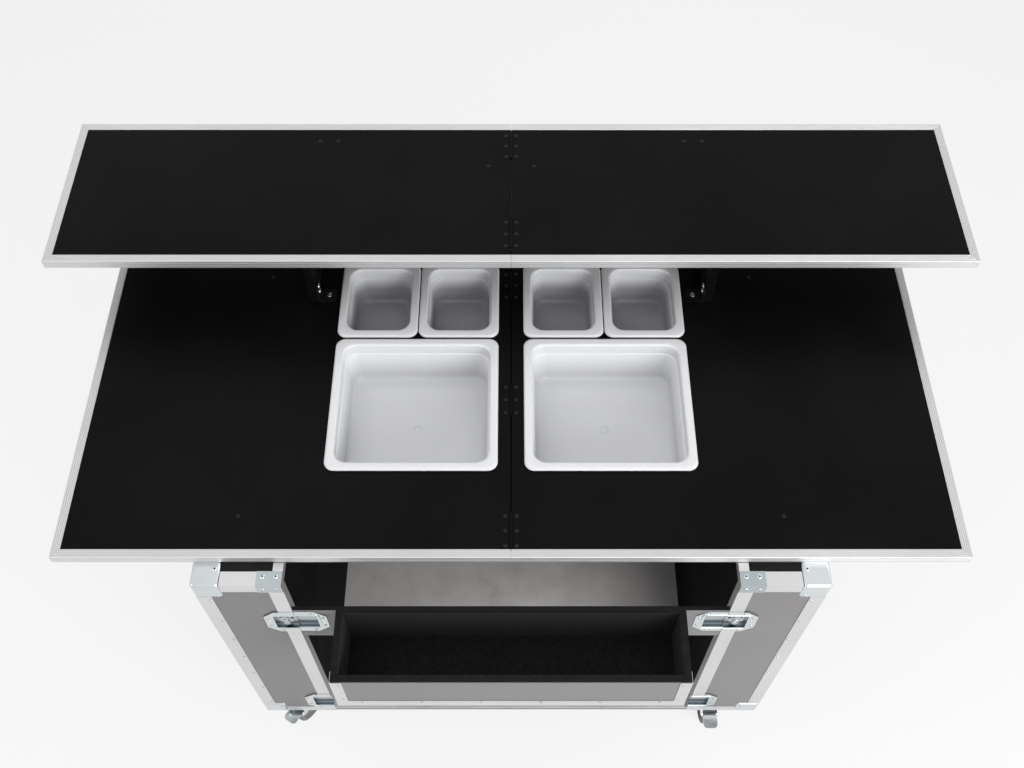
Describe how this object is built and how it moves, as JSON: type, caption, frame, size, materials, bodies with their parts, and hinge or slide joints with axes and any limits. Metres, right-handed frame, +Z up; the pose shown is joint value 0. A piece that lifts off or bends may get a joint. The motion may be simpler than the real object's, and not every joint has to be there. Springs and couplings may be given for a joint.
{
  "type": "folding bar",
  "caption": "Flight-case bar on casters: folding worktop with lift-out food pans, raised folding bar top on folding supports, and a bottle rack held by turning latches.",
  "frame": {"origin": "on the floor, in the middle of the bar's length and depth", "axes": "+X along the bar to the bartender's right, +Y to the guests, +Z up"},
  "size_m": [1.94, 1.167, 1.1598],
  "materials": {
    "black_laminate": "matt black laminate on plywood",
    "grey_laminate": "grey-brown phenolic laminate on plywood",
    "aluminium": "extruded, lightly ribbed",
    "zinc_steel": "bright zinc plated",
    "black_steel": "black coated",
    "white_plastic": "moulded white, slightly translucent",
    "black_felt": "black felt on foam",
    "grey_rubber": "grey tread"
  },
  "bodies": {
    "case": {"base_board": "grey_laminate", "cavity_floor": "grey_laminate", "outer_walls": "grey_laminate", "inner_walls": "black_laminate", "column_faces": "grey_laminate", "column_tops": "black_laminate", "guest_wall": "grey_laminate", "column_frames": "aluminium", "guest_side_frame": "aluminium", "corner_caps": "zinc_steel", "inner_brackets": "zinc_steel", "latch_dishes": "zinc_steel", "caster_plates": "zinc_steel", "left_worktop": "black_laminate", "left_worktop_edge": "aluminium", "left_worktop_hinges": "black_steel", "left_foot_bracket": "black_steel"},
    "worktop_flap": {"right_worktop": "black_laminate", "right_worktop_edge": "aluminium", "right_worktop_hinges": "black_steel", "right_foot_bracket": "black_steel"},
    "bar_left": {"left_bar_top": "black_laminate", "left_bar_edge": "aluminium", "left_bar_hinges": "black_steel", "left_support_hinge": "zinc_steel"},
    "bar_right": {"right_bar_top": "black_laminate", "right_bar_edge": "aluminium", "right_bar_hinges": "black_steel", "right_support_hinge": "zinc_steel"},
    "left_support": {"left_support": "black_laminate"},
    "right_support": {"right_support": "black_laminate"},
    "rack": {"rack_back_panel": "grey_laminate", "rack_floor": "grey_laminate", "rack_front": "grey_laminate", "rack_ends": "grey_laminate", "rack_lining": "black_felt", "rack_trim": "aluminium", "rack_keepers": "zinc_steel"},
    "left_key": {"left_latch_key": "zinc_steel"},
    "right_key": {"right_latch_key": "zinc_steel"},
    "left_large_pan": {"left_large_pan": "white_plastic"},
    "left_inner_small_pan": {"left_inner_small_pan": "white_plastic"},
    "left_outer_small_pan": {"left_outer_small_pan": "white_plastic"},
    "right_large_pan": {"right_large_pan": "white_plastic"},
    "right_inner_small_pan": {"right_inner_small_pan": "white_plastic"},
    "right_outer_small_pan": {"right_outer_small_pan": "white_plastic"},
    "service_left_swivel": {"service_left_fork": "zinc_steel", "service_left_axle": "zinc_steel"},
    "service_left_roller": {"service_left_wheel": "grey_rubber"},
    "service_left_pedal": {"service_left_brake_pedal": "zinc_steel"},
    "service_right_swivel": {"service_right_fork": "zinc_steel", "service_right_axle": "zinc_steel"},
    "service_right_roller": {"service_right_wheel": "grey_rubber"},
    "service_right_pedal": {"service_right_brake_pedal": "zinc_steel"},
    "guest_left_swivel": {"guest_left_fork": "zinc_steel", "guest_left_axle": "zinc_steel"},
    "guest_left_roller": {"guest_left_wheel": "grey_rubber"},
    "guest_right_swivel": {"guest_right_fork": "zinc_steel", "guest_right_axle": "zinc_steel"},
    "guest_right_roller": {"guest_right_wheel": "grey_rubber"}
  },
  "joints": [
    {"name": "worktop_fold", "type": "hinge", "parent": "case", "child": "worktop_flap", "pos_m": [0, 0, 0.9572], "axis": [0, 1, 0], "range_deg": [-146, 0]},
    {"name": "bar_top_lift", "type": "slide", "parent": "case", "child": "bar_left", "axis": [0, 0, 1], "range_m": [0, 2.04]},
    {"name": "bar_top_fold", "type": "hinge", "parent": "bar_left", "child": "bar_right", "pos_m": [0, 0, 1.1572], "axis": [0, -1, 0], "range_deg": [0, 178]},
    {"name": "left_support_fold", "type": "hinge", "parent": "bar_left", "child": "left_support", "pos_m": [-0.449, 0.3795, 1.132], "axis": [0, 1, 0], "range_deg": [0, 90]},
    {"name": "right_support_fold", "type": "hinge", "parent": "bar_right", "child": "right_support", "pos_m": [0.449, 0.3795, 1.132], "axis": [0, -1, 0], "range_deg": [0, 90]},
    {"name": "rack_lift", "type": "slide", "parent": "case", "child": "rack", "axis": [0, 0, 1], "range_m": [0, 0.25]},
    {"name": "left_key_turn", "type": "hinge", "parent": "case", "child": "left_key", "pos_m": [-0.46575, -0.432, 0.745], "axis": [0, 1, 0], "range_deg": [0, 180]},
    {"name": "right_key_turn", "type": "hinge", "parent": "case", "child": "right_key", "pos_m": [0.46575, -0.432, 0.745], "axis": [0, 1, 0], "range_deg": [0, 180]},
    {"name": "left_large_pan_lift", "type": "slide", "parent": "case", "child": "left_large_pan", "axis": [0, 0, 1], "range_m": [0, 0.25]},
    {"name": "left_inner_small_pan_lift", "type": "slide", "parent": "case", "child": "left_inner_small_pan", "axis": [0, 0, 1], "range_m": [0, 0.12]},
    {"name": "left_outer_small_pan_lift", "type": "slide", "parent": "case", "child": "left_outer_small_pan", "axis": [0, 0, 1], "range_m": [0, 0.12]},
    {"name": "right_large_pan_lift", "type": "slide", "parent": "worktop_flap", "child": "right_large_pan", "axis": [0, 0, 1], "range_m": [0, 0.25]},
    {"name": "right_inner_small_pan_lift", "type": "slide", "parent": "worktop_flap", "child": "right_inner_small_pan", "axis": [0, 0, 1], "range_m": [0, 0.12]},
    {"name": "right_outer_small_pan_lift", "type": "slide", "parent": "worktop_flap", "child": "right_outer_small_pan", "axis": [0, 0, 1], "range_m": [0, 0.12]},
    {"name": "service_left_swivel_turn", "type": "hinge", "parent": "case", "child": "service_left_swivel", "pos_m": [-0.508, -0.3625, 0.117], "axis": [0, 0, 1], "continuous": true},
    {"name": "service_left_wheel_spin", "type": "hinge", "parent": "service_left_swivel", "child": "service_left_roller", "pos_m": [-0.52708, -0.39303, 0.05], "axis": [-0.848, 0.5299, 0], "continuous": true},
    {"name": "service_left_brake_press", "type": "hinge", "parent": "service_left_swivel", "child": "service_left_pedal", "pos_m": [-0.54668, -0.42441, 0.095], "axis": [-0.848, 0.5299, 0], "range_deg": [-18, 0]},
    {"name": "service_right_swivel_turn", "type": "hinge", "parent": "case", "child": "service_right_swivel", "pos_m": [0.508, -0.3625, 0.117], "axis": [0, 0, 1], "continuous": true},
    {"name": "service_right_wheel_spin", "type": "hinge", "parent": "service_right_swivel", "child": "service_right_roller", "pos_m": [0.508, -0.3985, 0.05], "axis": [-1, 0, 0], "continuous": true},
    {"name": "service_right_brake_press", "type": "hinge", "parent": "service_right_swivel", "child": "service_right_pedal", "pos_m": [0.508, -0.4355, 0.095], "axis": [-1, 0, 0], "range_deg": [-18, 0]},
    {"name": "guest_left_swivel_turn", "type": "hinge", "parent": "case", "child": "guest_left_swivel", "pos_m": [-0.508, 0.2995, 0.117], "axis": [0, 0, 1], "continuous": true},
    {"name": "guest_left_wheel_spin", "type": "hinge", "parent": "guest_left_swivel", "child": "guest_left_roller", "pos_m": [-0.52031, 0.26567, 0.05], "axis": [-0.9397, 0.342, 0], "continuous": true},
    {"name": "guest_right_swivel_turn", "type": "hinge", "parent": "case", "child": "guest_right_swivel", "pos_m": [0.508, 0.2995, 0.117], "axis": [0, 0, 1], "continuous": true},
    {"name": "guest_right_wheel_spin", "type": "hinge", "parent": "guest_right_swivel", "child": "guest_right_roller", "pos_m": [0.49, 0.26832, 0.05], "axis": [-0.866, 0.5, 0], "continuous": true}
  ],
  "couplings": [
    {"joint": "bar_top_lift", "follows": "worktop_fold", "m_per_rad": -0.8}
  ]
}
